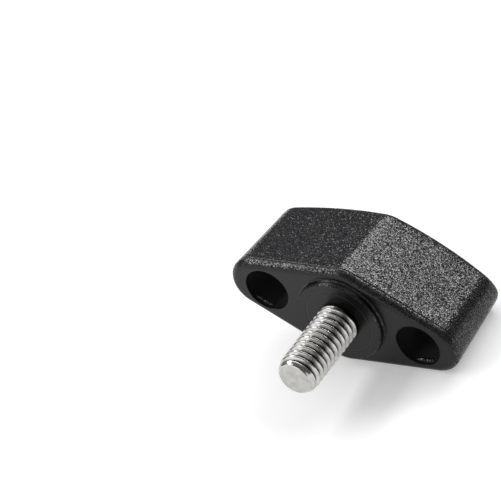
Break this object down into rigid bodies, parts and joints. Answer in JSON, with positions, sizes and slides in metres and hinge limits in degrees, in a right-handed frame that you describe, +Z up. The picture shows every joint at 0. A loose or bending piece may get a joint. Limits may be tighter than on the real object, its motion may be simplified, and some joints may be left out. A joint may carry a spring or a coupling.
{
  "type": "wing screw",
  "caption": "Wing screw: a moulded lozenge wing with drafted flanks and a ridged, arched crown, cored out from below, over the head of a stainless steel screw, lying on one flank.",
  "frame": {"origin": "on the surface it lies on, under the middle of its bounding box", "axes": "+Z up from the flank it lies on; +X along that flank, from ridge to tip; the screw points along -Y, tipped up by the mould draft"},
  "size_m": [0.0338, 0.0298, 0.0157],
  "materials": {
    "wing": "glass-filled polyamide, moulded black: spark-eroded grain on the flanks and crown, satin underside",
    "screw": "stainless steel, rolled thread, turned flat point"
  },
  "bodies": {
    "root": {"wing_head": "wing", "hex_screw": "screw"}
  },
  "joints": []
}
